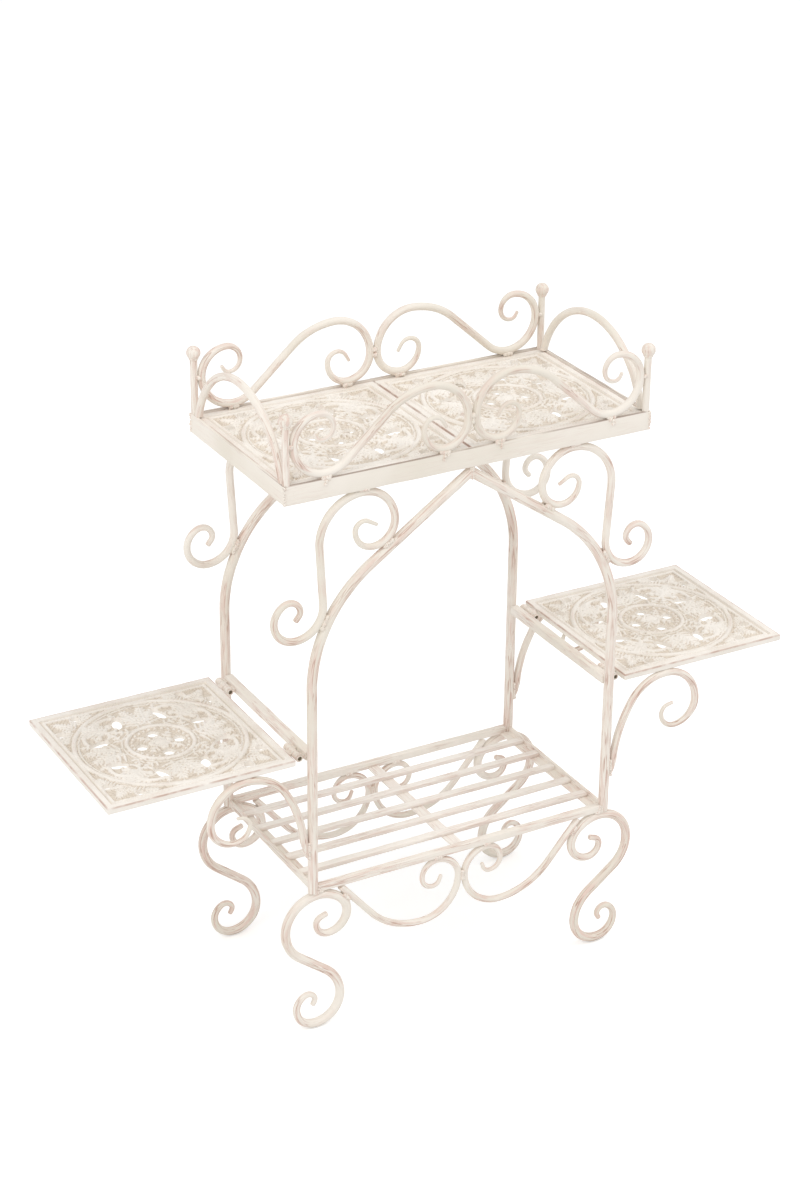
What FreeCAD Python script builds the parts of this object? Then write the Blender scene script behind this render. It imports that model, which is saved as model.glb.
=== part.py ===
"""Wrought iron plant table: a tray of two pierced castings on arched rod frames, with a slatted
shelf, scrolled feet and a hinged leaf at each side. Millimetres, X along the tray, Y to the back,
Z up, with the origin on the floor under the middle of the table."""
import FreeCAD
import Part
import math
import os

V = FreeCAD.Vector

# Cast panels
panel_side = 250.0
panel_thickness = 8.0
panel_web = 4.0            # pierced field inside the border
panel_border = 14.0
ring_width = 6.0           # raised rings on the field
ring_lap = 1.0             # how far the outer ring runs into the border
medallion_radius = 42.0    # middle line of the inner ring
boss_radius = 11.0
eye_radius = 7.0           # four round openings in the medallion
loop_length = 28.0         # eight oval openings between the rings
loop_width = 13.0
loop_lean = 40.0           # degrees between an oval and its radius
corner_eye_radius = 6.0    # two round openings in each corner
corner_eye_inset = 32.0    # from the corner of the field
corner_eye_spread = 10.0   # degrees on each side of the diagonal

# Tray
tray_top = 771.0
rim_height = 25.0
rim_wall = 3.5
rim_flange = 22.0
rim_lip = 2.0              # how far the rim stands over the panels
panel_gap = 0.5
bearer_width = 8.0
cross_bar_width = 20.0

# Rods
leg_rod = 13.0
scroll_rod = 10.0
foot_rod = 12.0
apron_rod = 9.0
post_rod = 9.0
tip_share = 0.5            # a curl's drawn-out end against its rod
weld_gap = 0.2

# Legs and arch
leg_spacing = 433.0        # between the middle lines of the left and right legs
arch_radius = 185.0
arch_slope = 34.5          # degrees at the apex

# Shelf
shelf_bottom = 205.0
shelf_rail_height = 10.0
shelf_rail_depth = 9.0
angle_wall = 3.0
angle_flange = 13.0
slat_count = 5
slat_width = 12.0
slat_thickness = 5.0
strap_width = 16.0

# Feet: curls are (radius, degrees) from the crest inwards, tips are straight
foot_inset = 6.5           # crest inboard of the leg
foot_loop = 46.0
foot_loop_turn = 50.0
foot_curl = ((27.0, 130.0), (17.0, 90.0), (10.0, 70.0))
foot_tip = 10.0
foot_waist = 38.0          # narrowest point inboard of the leg
foot_sway = 52.0           # degrees that the S leans between its loops
toe_loop = 36.0
toe_curl = ((27.0, 90.0), (21.0, 60.0), (11.0, 90.0), (8.0, 60.0))
toe_tip = 6.0

# Aprons
apron_loop = 32.0
apron_curl = ((22.0, 90.0), (16.0, 90.0), (10.0, 70.0))
apron_tip = 8.0
apron_belly = 54.0
apron_slope = 50.0         # degrees where it rises to the foot

# Spandrels
spandrel_loop = 44.0
spandrel_inner = 30.0
spandrel_curl = ((24.0, 90.0), (12.0, 120.0))
spandrel_tip = 14.0
spandrel_swing = 58.0
spandrel_low_loop = 38.0
spandrel_drop = 144.0      # from the rim to the middle of the low loop
spandrel_low_curl = ((28.0, 90.0), (26.0, 60.0), (15.0, 110.0), (10.0, 50.0))
spandrel_low_tip = 8.0

# Leaves, their hinges and brackets
leaf_top = 402.0
leaf_rest_gap = 0.3
hinge_bar = 12.0
hinge_bar_gap = 3.0        # between the hinge bar and a barrel
hinge_leaf_gap = 4.0       # between a barrel and the leaf's edge
barrel_radius = 5.0
pin_radius = 2.5
pin_clearance = 0.05
pin_head_radius = 4.0
pin_head = 1.5
knuckle_length = 11.0
knuckle_gap = 0.5
hinge_tab = 4.0
hinge_inset = 27.0         # middle of a hinge from the leaf's end
bracket_reach = 89.0       # crest outboard of the leg
bracket_loop = 50.0
bracket_curl = ((32.0, 90.0), (21.0, 90.0), (12.0, 80.0))
bracket_tip = 8.0
bracket_shoulder = 60.0
bracket_back = 180.0
bracket_run = 12.0         # straight end along the leg

# Gallery on the tray
rail_rise = 88.0           # from the tray's top to the crest's middle line
rail_loop = 50.0
rail_curl = ((28.0, 90.0), (14.0, 150.0))
rail_tip = 10.0
rail_run = 73.5            # straight stretch between the crest and the end loop
rail_end_loop = 42.0
rail_end_curl = ((34.0, 90.0), (19.0, 90.0), (15.0, 90.0), (9.0, 60.0))
rail_end_tip = 6.0
hoop_rise = 85.0
hoop_post_gap = 0.6
ball_rise = 80.0           # from the tray's top to the middle of a finial
ball_radius = 8.75

# Derived places
leg_x = leg_spacing / 2
tray_x = panel_side + 1.5 * panel_gap + rim_wall
tray_y = panel_side / 2 + panel_gap + rim_wall
rim_bottom = tray_top - rim_height
panel_bottom = tray_top - rim_lip - panel_thickness
frame_y = tray_y - leg_rod / 2
leg_inside_y = frame_y - leg_rod / 2 - weld_gap
slope = math.radians(arch_slope)
apex_z = rim_bottom - weld_gap - leg_rod / 2 / math.cos(slope)
arch_x = leg_x - arch_radius
arch_z = apex_z - (arch_radius + arch_x * math.sin(slope)) / math.cos(slope)
leaf_bottom = leaf_top - panel_thickness
hinge_z = leaf_top - panel_thickness / 2
hinge_x = leg_x + hinge_bar / 2 + hinge_bar_gap + barrel_radius
leaf_edge_x = hinge_x + barrel_radius + hinge_leaf_gap
hinge_y = panel_side / 2 - hinge_inset
hinge_half = 1.5 * knuckle_length + knuckle_gap
foot_crest = (leg_x - foot_inset, shelf_bottom - weld_gap - foot_rod / 2)
post_x = tray_x - post_rod / 2
post_y = tray_y - post_rod / 2
rail_crest = tray_top + rail_rise
ball_height = tray_top + ball_rise
post_top = ball_height - math.sqrt(ball_radius ** 2 - (post_rod / 2) ** 2)
rows = {"front": -1, "rear": 1}
sides = {"left": -1, "right": 1}


def box(low, high):
    """A box between two corners."""
    return Part.makeBox(high[0] - low[0], high[1] - low[1], high[2] - low[2], V(*low))


def cylinder_y(radius, start, length):
    """A cylinder along +Y from a point."""
    return Part.makeCylinder(radius, length, V(*start), V(0, 1, 0))


def trace(start, heading, steps):
    """Follow arcs (radius, turn) and runs (0, length) in a plane.

    Gives each step's three points, and the last point and heading. A positive turn goes left."""
    u, w = start
    pieces = []
    for radius, amount in steps:
        angle = math.radians(heading)
        if radius == 0:
            end = (u + amount * math.cos(angle), w + amount * math.sin(angle))
            pieces.append(((u, w), None, end))
        else:
            left = math.copysign(1, amount)
            centre = (u - left * radius * math.sin(angle), w + left * radius * math.cos(angle))
            points = []
            for share in (0.5, 1.0):
                turned = angle + math.radians(amount * share) - left * math.pi / 2
                points.append((centre[0] + radius * math.cos(turned), centre[1] + radius * math.sin(turned)))
            middle, end = points
            pieces.append(((u, w), middle, end))
            heading += amount
        u, w = end
    return pieces, (u, w), heading


def scroll(crest, heading, inward, outward):
    """One line from the tip of the inward steps over the crest to the tip of the outward steps."""
    _, tip, tip_heading = trace(crest, heading, inward)
    back = [(radius, amount if radius == 0 else -amount) for radius, amount in reversed(inward)]
    return tip, tip_heading + 180, back + outward


def curl(steps, left):
    """A curl's (radius, degrees) steps turned left or right."""
    return [(radius, turn * left) for radius, turn in steps]


def frame_plane(side, y):
    """Places (outboard distance, height) on a side of an upright plane along X."""
    return lambda u, w: V(side * u, y, w)


def rod(line, radius, place, start_tip=0, end_tip=0):
    """A round bar along a line, with drawn-out straight tips where a tip length is given."""
    start, heading, steps = line
    pieces, end, end_heading = trace(start, heading, steps)
    edges = []
    for first, middle, last in pieces:
        if middle is None:
            edges.append(Part.LineSegment(place(*first), place(*last)).toShape())
        else:
            edges.append(Part.Arc(place(*first), place(*middle), place(*last)).toShape())
    wire = Part.Wire(edges)

    def ahead(point, angle):
        step = (point[0] + math.cos(math.radians(angle)), point[1] + math.sin(math.radians(angle)))
        return place(*step) - place(*point)

    profile = Part.Wire([Part.Circle(place(*start), ahead(start, heading), radius).toShape()])
    solid = wire.makePipe(Part.Face(profile))
    for length, point, angle in ((start_tip, start, heading + 180), (end_tip, end, end_heading)):
        if length:
            cone = Part.makeCone(radius, radius * tip_share, length, place(*point), ahead(point, angle))
            solid = solid.fuse(cone)
    return solid


def s_curve(first, first_radius, second, second_radius):
    """A right arc, a run and an equal left arc, from the top of one circle to the bottom of the next."""
    du = second[0] - first[0]
    dw = second[1] - first[1]
    reach = first_radius + second_radius
    run = math.sqrt(du ** 2 + dw ** 2 - reach ** 2)
    turn = math.degrees(math.atan2(reach, run) - math.atan2(dw, du))
    return [(first_radius, -turn), (0, run), (second_radius, turn)]


def leg(side, y):
    """Upright that bends over into half of the arch and is mitred at the middle of the table."""
    past_middle = leg_rod
    over = (arch_x + arch_radius * math.sin(slope)) / math.cos(slope) + past_middle
    steps = [(0, arch_z - shelf_bottom), (arch_radius, 90 - arch_slope), (0, over)]
    solid = rod(((leg_x, shelf_bottom), 90, steps), leg_rod / 2, frame_plane(side, y))
    inner = weld_gap / 2
    outer = leg_x + leg_rod
    x_low, x_high = sorted((side * inner, side * outer))
    return solid.common(box((x_low, y - leg_rod, 0), (x_high, y + leg_rod, tray_top)))


def foot(side, y):
    """S-scroll under a shelf corner: the upper end curls inwards and the toe curls outwards."""
    inward = [(foot_loop, foot_loop_turn)] + curl(foot_curl, 1)
    drop = foot_crest[1] - foot_loop - toe_loop - foot_rod / 2
    shift = foot_waist - foot_inset + foot_loop
    lean = math.radians(foot_sway)
    sway_radius = (drop * math.sin(lean) - shift * math.cos(lean)) / (2 - 2 * math.cos(lean))
    run = (drop - 2 * sway_radius * math.sin(lean)) / math.cos(lean)
    waist = [(sway_radius, -foot_sway), (0, run), (sway_radius, foot_sway)]
    outward = [(foot_loop, -90)] + waist + [(toe_loop, 90)] + curl(toe_curl, 1)
    line = scroll(foot_crest, 180, inward, outward)
    return rod(line, foot_rod / 2, frame_plane(side, y), foot_tip, toe_tip)


def apron(side, y):
    """C-scroll under the shelf: it curls against its twin in the middle and rises along the foot."""
    inmost = (apron_rod / 2 + weld_gap / 2, shelf_bottom - weld_gap - apron_rod / 2 - apron_loop)
    inward = [(apron_loop, -90)] + curl(apron_curl, -1)
    rise = math.radians(apron_slope)
    across = (-math.sin(rise), math.cos(rise))
    clear = foot_loop + foot_rod / 2 + apron_rod / 2 + weld_gap
    lowest = (inmost[0] + apron_belly, inmost[1] - apron_belly)
    beside_foot = (foot_crest[0] + across[0] * clear, foot_crest[1] - foot_loop + across[1] * clear)
    offset = across[0] * (lowest[0] - beside_foot[0]) + across[1] * (lowest[1] - beside_foot[1])
    bend = offset / (1 - math.cos(rise))
    end_height = shelf_bottom - weld_gap - apron_rod / 2 * math.cos(rise)
    run = (end_height - lowest[1] - bend * (1 - math.cos(rise))) / math.sin(rise)
    line = scroll(inmost, 90, inward, [(apron_belly, 90), (bend, apron_slope), (0, run)])
    return rod(line, apron_rod / 2, frame_plane(side, y), apron_tip)


def spandrel(side, y):
    """S-scroll that hangs under the tray and rests on the arch at its inner loop and its low loop."""
    crest_height = rim_bottom - weld_gap - scroll_rod / 2
    clear = leg_rod / 2 + scroll_rod / 2 + weld_gap
    inner_height = crest_height - spandrel_loop
    above_arch = spandrel_inner + clear - math.cos(slope) * (inner_height - apex_z)
    crest = (above_arch / math.sin(slope) + spandrel_loop - spandrel_inner, crest_height)
    inward = [(spandrel_loop, 90), (spandrel_inner, 90)] + curl(spandrel_curl, 1)
    from_arch = arch_radius + clear + spandrel_low_loop
    low_height = rim_bottom - spandrel_drop
    low_x = arch_x + math.sqrt(from_arch ** 2 - (low_height - arch_z) ** 2)
    low_loop = (low_x, low_height)
    swing = (crest[0], crest_height - spandrel_swing)
    outward = s_curve(swing, spandrel_swing, low_loop, spandrel_low_loop) + curl(spandrel_low_curl, 1)
    line = scroll(crest, 180, inward, outward)
    return rod(line, scroll_rod / 2, frame_plane(side, y), spandrel_tip, spandrel_low_tip)


def bracket(side, y):
    """Scroll on the outside of a leg, with its crest under the leaf."""
    crest = (leg_x + bracket_reach, leaf_bottom - leaf_rest_gap - scroll_rod / 2)
    against_leg = leg_x + leg_rod / 2 + weld_gap + scroll_rod / 2
    spread = bracket_back - bracket_shoulder
    lean = math.degrees(math.acos((against_leg + bracket_back - crest[0]) / spread))
    inward = [(bracket_shoulder, 90 - lean), (bracket_back, lean), (0, bracket_run)]
    outward = [(bracket_loop, -90)] + curl(bracket_curl, -1)
    line = scroll(crest, 180, inward, outward)
    return rod(line, scroll_rod / 2, frame_plane(side, y), 0, bracket_tip)


def rail_scroll(side, y):
    """S-scroll of the gallery: it stands on the rim at two low points, between its twin and a post."""
    low = tray_top + weld_gap / 2 + scroll_rod / 2
    crest = (scroll_rod / 2 + weld_gap / 2 + rail_loop, rail_crest)
    inward = [(rail_loop, 90), (rail_crest - rail_loop - low, 90)] + curl(rail_curl, 1)
    end_x = post_x - post_rod / 2 - weld_gap - scroll_rod / 2 - rail_end_loop
    across = end_x - crest[0]
    fall = rail_crest - low - rail_end_loop
    swing = (across ** 2 + fall ** 2 - rail_end_loop ** 2 - rail_run ** 2) / (2 * (fall + rail_end_loop))
    outward = s_curve((crest[0], rail_crest - swing), swing, (end_x, low + rail_end_loop), rail_end_loop)
    outward = outward + [(rail_end_loop, 90)] + curl(rail_end_curl, 1)
    line = scroll(crest, 180, inward, outward)
    return rod(line, scroll_rod / 2, frame_plane(side, y), rail_tip, rail_end_tip)


def hoop(side):
    """Arched end of the gallery, cut flat where it stands on the rim."""
    x = side * (tray_x - scroll_rod / 2)
    half = post_y - post_rod / 2 - hoop_post_gap - scroll_rod / 2
    base_angle = 2 * math.atan2(hoop_rise, half)
    radius = (half ** 2 + hoop_rise ** 2) / (2 * hoop_rise)
    sunk = scroll_rod
    start = (-half - sunk * math.cos(base_angle), tray_top - sunk * math.sin(base_angle))
    base_degrees = math.degrees(base_angle)
    line = (start, base_degrees, [(0, sunk), (radius, -2 * base_degrees), (0, sunk)])
    solid = rod(line, scroll_rod / 2, lambda u, w: V(x, u, w))
    below = box((x - scroll_rod, -tray_y, rim_bottom), (x + scroll_rod, tray_y, tray_top))
    return solid.cut(below)


def post(side, depth):
    """Corner post of the gallery, up to the flat under its ball."""
    return Part.makeCylinder(post_rod / 2, post_top - tray_top, V(side * post_x, depth * post_y, tray_top))


def finials():
    """Balls on the four corner posts, each flat where the post meets it."""
    balls = []
    for side in sides.values():
        for depth in rows.values():
            ball = Part.makeSphere(ball_radius, V(0, 0, ball_height))
            ball = ball.cut(Part.makeCylinder(ball_radius, post_top))
            ball.translate(V(side * post_x, depth * post_y, 0))
            balls.append(ball)
    return Part.makeCompound(balls)


def rim_bar(length, depth, turn):
    """Angle bar with mitred ends along the front of a tray of this half length and half depth."""
    def prism(inset, low, high):
        corners = [V(-length, -depth, low), V(length, -depth, low)]
        corners += [V(length - inset, inset - depth, low), V(inset - length, inset - depth, low)]
        face = Part.Face(Part.makePolygon(corners + corners[:1]))
        return face.extrude(V(0, 0, high - low))

    wall = prism(rim_wall, rim_bottom, tray_top)
    bar = wall.fuse(prism(rim_flange, rim_bottom, rim_bottom + rim_wall)).removeSplitter()
    bar.rotate(V(0, 0, 0), V(0, 0, 1), turn)
    return bar


def panel_bearers():
    """Flat bars inside the rim that carry the panels' edges."""
    long_x = tray_x - rim_wall - weld_gap
    long_y = tray_y - rim_wall - weld_gap
    inner_y = long_y - bearer_width
    bars = []
    for depth in rows.values():
        y_low, y_high = sorted((depth * inner_y, depth * long_y))
        bars.append(box((-long_x, y_low, rim_bottom + rim_wall), (long_x, y_high, panel_bottom)))
    end_y = inner_y - weld_gap
    for side in sides.values():
        x_low, x_high = sorted((side * (long_x - bearer_width), side * long_x))
        bars.append(box((x_low, -end_y, rim_bottom + rim_wall), (x_high, end_y, panel_bottom)))
    return Part.makeCompound(bars)


def cross_bar():
    """Flat bar under the seam of the two tray panels, from flange to flange."""
    half = cross_bar_width / 2
    reach = tray_y - rim_wall - bearer_width - 2 * weld_gap
    return box((-half, -reach, rim_bottom + rim_wall), (half, reach, panel_bottom))


def panel(x, z):
    """Square casting: a pierced web with a raised border, two raised rings and a boss."""
    half = panel_side / 2
    field = half - panel_border
    web = box((-half, -half, 0), (half, half, panel_web))
    border = box((-half, -half, 0), (half, half, panel_thickness))
    border = border.cut(box((-field, -field, 0), (field, field, panel_thickness)))
    outer_ring = field + ring_lap - ring_width / 2
    raised = [border, Part.makeCylinder(boss_radius, panel_thickness)]
    for radius in (medallion_radius, outer_ring):
        ring = Part.makeCylinder(radius + ring_width / 2, panel_thickness)
        raised.append(ring.cut(Part.makeCylinder(radius - ring_width / 2, panel_thickness)))
    openings = []
    eye_ring = (boss_radius + medallion_radius - ring_width / 2) / 2
    corner_ring = field * math.sqrt(2) - corner_eye_inset
    for quarter in range(4):
        openings.append(round_opening(eye_radius, eye_ring, 90 * quarter))
        for spread in (-corner_eye_spread, corner_eye_spread):
            openings.append(round_opening(corner_eye_radius, corner_ring, 45 + 90 * quarter + spread))
    for eighth in range(8):
        lean = loop_lean if eighth % 2 else -loop_lean
        openings.append(oval_opening((medallion_radius + outer_ring) / 2, 22.5 + 45 * eighth, lean))
    solid = web.multiFuse(raised).cut(Part.makeCompound(openings)).removeSplitter()
    solid.translate(V(x, 0, z))
    return solid


def round_opening(radius, ring, angle):
    """Cutter for a round opening at an angle on a ring."""
    x = ring * math.cos(math.radians(angle))
    y = ring * math.sin(math.radians(angle))
    return Part.makeCylinder(radius, panel_thickness, V(x, y, 0))


def oval_opening(ring, angle, lean):
    """Cutter for an oval opening at an angle on a ring, leaning away from its radius."""
    run = loop_length - loop_width
    oval = box((-run / 2, -loop_width / 2, 0), (run / 2, loop_width / 2, panel_thickness))
    ends = [Part.makeCylinder(loop_width / 2, panel_thickness, V(end * run / 2, 0, 0)) for end in (-1, 1)]
    oval = oval.multiFuse(ends)
    oval.rotate(V(0, 0, 0), V(0, 0, 1), lean)
    oval.translate(V(ring, 0, 0))
    oval.rotate(V(0, 0, 0), V(0, 0, 1), angle)
    return oval


def shelf_rail(y):
    """Square bar of the shelf between two legs of a frame."""
    reach = leg_x - leg_rod / 2 - weld_gap
    low = (-reach, y - shelf_rail_depth / 2, shelf_bottom)
    return box(low, (reach, y + shelf_rail_depth / 2, shelf_bottom + shelf_rail_height))


def shelf_angle(side):
    """Angle bar of the shelf from the front leg to the rear leg, with its flange inwards."""
    outer = leg_x + angle_wall / 2
    wall = box((outer - angle_wall, -leg_inside_y, shelf_bottom),
               (outer, leg_inside_y, shelf_bottom + shelf_rail_height))
    flange = box((outer - angle_wall - angle_flange, -leg_inside_y, shelf_bottom),
                 (outer, leg_inside_y, shelf_bottom + angle_wall))
    bar = wall.fuse(flange).removeSplitter()
    if side < 0:
        bar.rotate(V(0, 0, 0), V(0, 0, 1), 180)
    return bar


def shelf_slat(index):
    """Flat bar along the shelf that lies on the flanges of the angle bars."""
    reach = leg_x - angle_wall / 2 - weld_gap
    y = frame_y * (2 * (index + 1) / (slat_count + 1) - 1)
    low = shelf_bottom + angle_wall
    return box((-reach, y - slat_width / 2, low), (reach, y + slat_width / 2, low + slat_thickness))


def shelf_strap():
    """Flat bar across under the middle of the slats, between the front and rear rails."""
    reach = frame_y - shelf_rail_depth / 2 - weld_gap
    half = strap_width / 2
    return box((-half, -reach, shelf_bottom), (half, reach, shelf_bottom + angle_wall))


def leaf_hinge_bar(side):
    """Square bar between the front and rear legs that carries a leaf's hinges."""
    half = hinge_bar / 2
    x = side * leg_x
    return box((x - half, -leg_inside_y, hinge_z - half), (x + half, leg_inside_y, hinge_z + half))


def knuckle(y, tab_end):
    """Hinge knuckle on the right-hand hinge line with a tab out to an edge, before it is mirrored."""
    x_low, x_high = sorted((hinge_x, tab_end))
    tab = box((x_low, y, hinge_z - hinge_tab / 2), (x_high, y + knuckle_length, hinge_z + hinge_tab / 2))
    barrel = cylinder_y(barrel_radius, (hinge_x, y, hinge_z), knuckle_length)
    bore = cylinder_y(pin_radius + pin_clearance, (hinge_x, y, hinge_z), knuckle_length)
    return barrel.fuse(tab).cut(bore).removeSplitter()


def on_side(solids, side):
    """The solids of the right-hand hinge line, turned round for the left."""
    group = Part.makeCompound(solids)
    if side < 0:
        group.rotate(V(0, 0, 0), V(0, 0, 1), 180)
    return group


def fixed_hinges(side):
    """Knuckles on the hinge bar, two to a hinge."""
    solids = []
    for depth in rows.values():
        for start in (-hinge_half, hinge_half - knuckle_length):
            solids.append(knuckle(depth * hinge_y + start, leg_x + hinge_bar / 2 + weld_gap))
    return on_side(solids, side)


def leaf_hinges(side):
    """Knuckles on the leaf, one in the middle of each hinge."""
    start = -knuckle_length / 2
    solids = [knuckle(depth * hinge_y + start, leaf_edge_x - weld_gap) for depth in rows.values()]
    return on_side(solids, side)


def hinge_pins(side):
    """Headed pins through the knuckles."""
    solids = []
    for depth in rows.values():
        low = depth * hinge_y - hinge_half - weld_gap
        length = 2 * (hinge_half + weld_gap)
        shank = cylinder_y(pin_radius, (hinge_x, low, hinge_z), length)
        ends = (low - pin_head, low + length)
        heads = [cylinder_y(pin_head_radius, (hinge_x, y, hinge_z), pin_head) for y in ends]
        solids.append(shank.multiFuse(heads))
    return on_side(solids, side)


nodes = {}
for row, depth in rows.items():
    for side_name, side in sides.items():
        corner = f"{row}_{side_name}"
        nodes[f"{corner}_leg"] = leg(side, depth * frame_y)
        nodes[f"{corner}_foot"] = foot(side, depth * frame_y)
        nodes[f"{corner}_apron"] = apron(side, depth * frame_y)
        nodes[f"{corner}_spandrel"] = spandrel(side, depth * frame_y)
        nodes[f"{corner}_bracket"] = bracket(side, depth * frame_y)
        nodes[f"{corner}_rail_scroll"] = rail_scroll(side, depth * (tray_y - scroll_rod / 2))
        nodes[f"{corner}_post"] = post(side, depth)
    nodes[f"{row}_rim_bar"] = rim_bar(tray_x, tray_y, 0 if depth < 0 else 180)
    nodes[f"{row}_shelf_rail"] = shelf_rail(depth * frame_y)
for side_name, side in sides.items():
    nodes[f"{side_name}_rim_bar"] = rim_bar(tray_y, tray_x, side * 90)
    nodes[f"{side_name}_hoop"] = hoop(side)
    nodes[f"{side_name}_tray_panel"] = panel(side * (panel_side + panel_gap) / 2, panel_bottom)
    nodes[f"{side_name}_shelf_angle"] = shelf_angle(side)
    nodes[f"{side_name}_hinge_bar"] = leaf_hinge_bar(side)
    nodes[f"{side_name}_fixed_hinges"] = fixed_hinges(side)
    nodes[f"{side_name}_hinge_pins"] = hinge_pins(side)
    nodes[f"{side_name}_leaf_panel"] = panel(side * (leaf_edge_x + panel_side / 2), leaf_bottom)
    nodes[f"{side_name}_leaf_hinges"] = leaf_hinges(side)
for index in range(slat_count):
    nodes[f"shelf_slat_{index + 1}"] = shelf_slat(index)
nodes["shelf_strap"] = shelf_strap()
nodes["panel_bearers"] = panel_bearers()
nodes["tray_cross_bar"] = cross_bar()
nodes["post_finials"] = finials()

os.makedirs("parts", exist_ok=True)
for name, shape in nodes.items():
    shape.exportStep(f"parts/{name}.step")
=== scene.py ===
import random
from math import acos, atan2, ceil, copysign, cos, degrees, hypot, isclose, pi, radians, sin, sqrt

import bpy
import numpy as np
from mathutils import Euler, Matrix, Vector


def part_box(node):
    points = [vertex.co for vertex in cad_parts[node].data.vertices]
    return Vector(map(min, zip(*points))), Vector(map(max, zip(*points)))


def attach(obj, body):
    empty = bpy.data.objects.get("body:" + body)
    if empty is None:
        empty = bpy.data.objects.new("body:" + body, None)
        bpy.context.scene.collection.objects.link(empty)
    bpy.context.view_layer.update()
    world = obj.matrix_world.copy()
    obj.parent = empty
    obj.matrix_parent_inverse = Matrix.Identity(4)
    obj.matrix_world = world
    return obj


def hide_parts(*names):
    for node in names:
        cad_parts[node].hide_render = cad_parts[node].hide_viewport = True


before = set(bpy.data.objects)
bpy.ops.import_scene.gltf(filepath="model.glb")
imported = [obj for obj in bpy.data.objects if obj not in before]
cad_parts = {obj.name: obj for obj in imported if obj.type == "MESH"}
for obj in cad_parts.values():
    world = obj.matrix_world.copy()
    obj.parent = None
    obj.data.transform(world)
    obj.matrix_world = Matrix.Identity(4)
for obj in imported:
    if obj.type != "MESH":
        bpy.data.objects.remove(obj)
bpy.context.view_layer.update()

bpy.ops.object.select_all(action="DESELECT")

# Legs: four round bars of mild steel. Each stands on a corner of the shelf, bends over into half
# of an arch and meets its twin under the tray. Bent and hammered by hand, then brushed with matt
# cream paint that is rubbed through to a pinkish brown in streaks along the bar.
rows = {"front": -1, "rear": 1}
sides = {"left": -1, "right": 1}
corners = [(back, side) for back in rows.values() for side in sides.values()]
quarter_turn = pi / 2
weld_gap = 0.0002
rod_sides = 20
ring_spacing = 0.005
ring_turn = 10
drawn_tips = (0.42, 0.42)
tip_rounding = 0.6
rounding_steps = 3
merge_distance = 1e-6


def alone(piece):
    """Make a piece the only selected and active one."""
    bpy.ops.object.select_all(action="DESELECT")
    piece.select_set(True)
    bpy.context.view_layer.objects.active = piece


def pick(piece, part, test):
    """Select the vertices, edges or polygons of a piece that pass a test, in edit mode."""
    bpy.ops.object.mode_set(mode="EDIT")
    bpy.ops.mesh.select_mode(type={"vertices": "VERT", "edges": "EDGE", "polygons": "FACE"}[part])
    bpy.ops.mesh.select_all(action="DESELECT")
    bpy.ops.object.mode_set(mode="OBJECT")
    for element in getattr(piece.data, part):
        element.select = test(element)
    bpy.ops.object.mode_set(mode="EDIT")


def close_mesh():
    """Merge the doubles of the mesh in edit mode, turn its faces outwards and leave edit mode."""
    bpy.ops.mesh.select_all(action="SELECT")
    bpy.ops.mesh.remove_doubles(threshold=merge_distance)
    bpy.ops.mesh.normals_make_consistent(inside=False)
    bpy.ops.object.mode_set(mode="OBJECT")


def open_all(piece):
    """Open a piece in edit mode with all of it selected."""
    alone(piece)
    bpy.ops.object.mode_set(mode="EDIT")
    bpy.ops.mesh.select_all(action="SELECT")


def saw_off(piece, point, outwards):
    """Saw a piece through at a point and take away what lies outwards of the cut."""
    open_all(piece)
    bpy.ops.mesh.bisect(plane_co=point, plane_no=outwards, use_fill=True, clear_outer=True)
    close_mesh()


def work(piece, kind, **settings):
    """Put a modifier with its settings on a piece and apply it."""
    alone(piece)
    bpy.ops.object.modifier_add(type=kind)
    modifier = piece.modifiers[-1]
    for key, value in settings.items():
        setattr(modifier, key, value)
    bpy.ops.object.modifier_apply(modifier=modifier.name)


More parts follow.
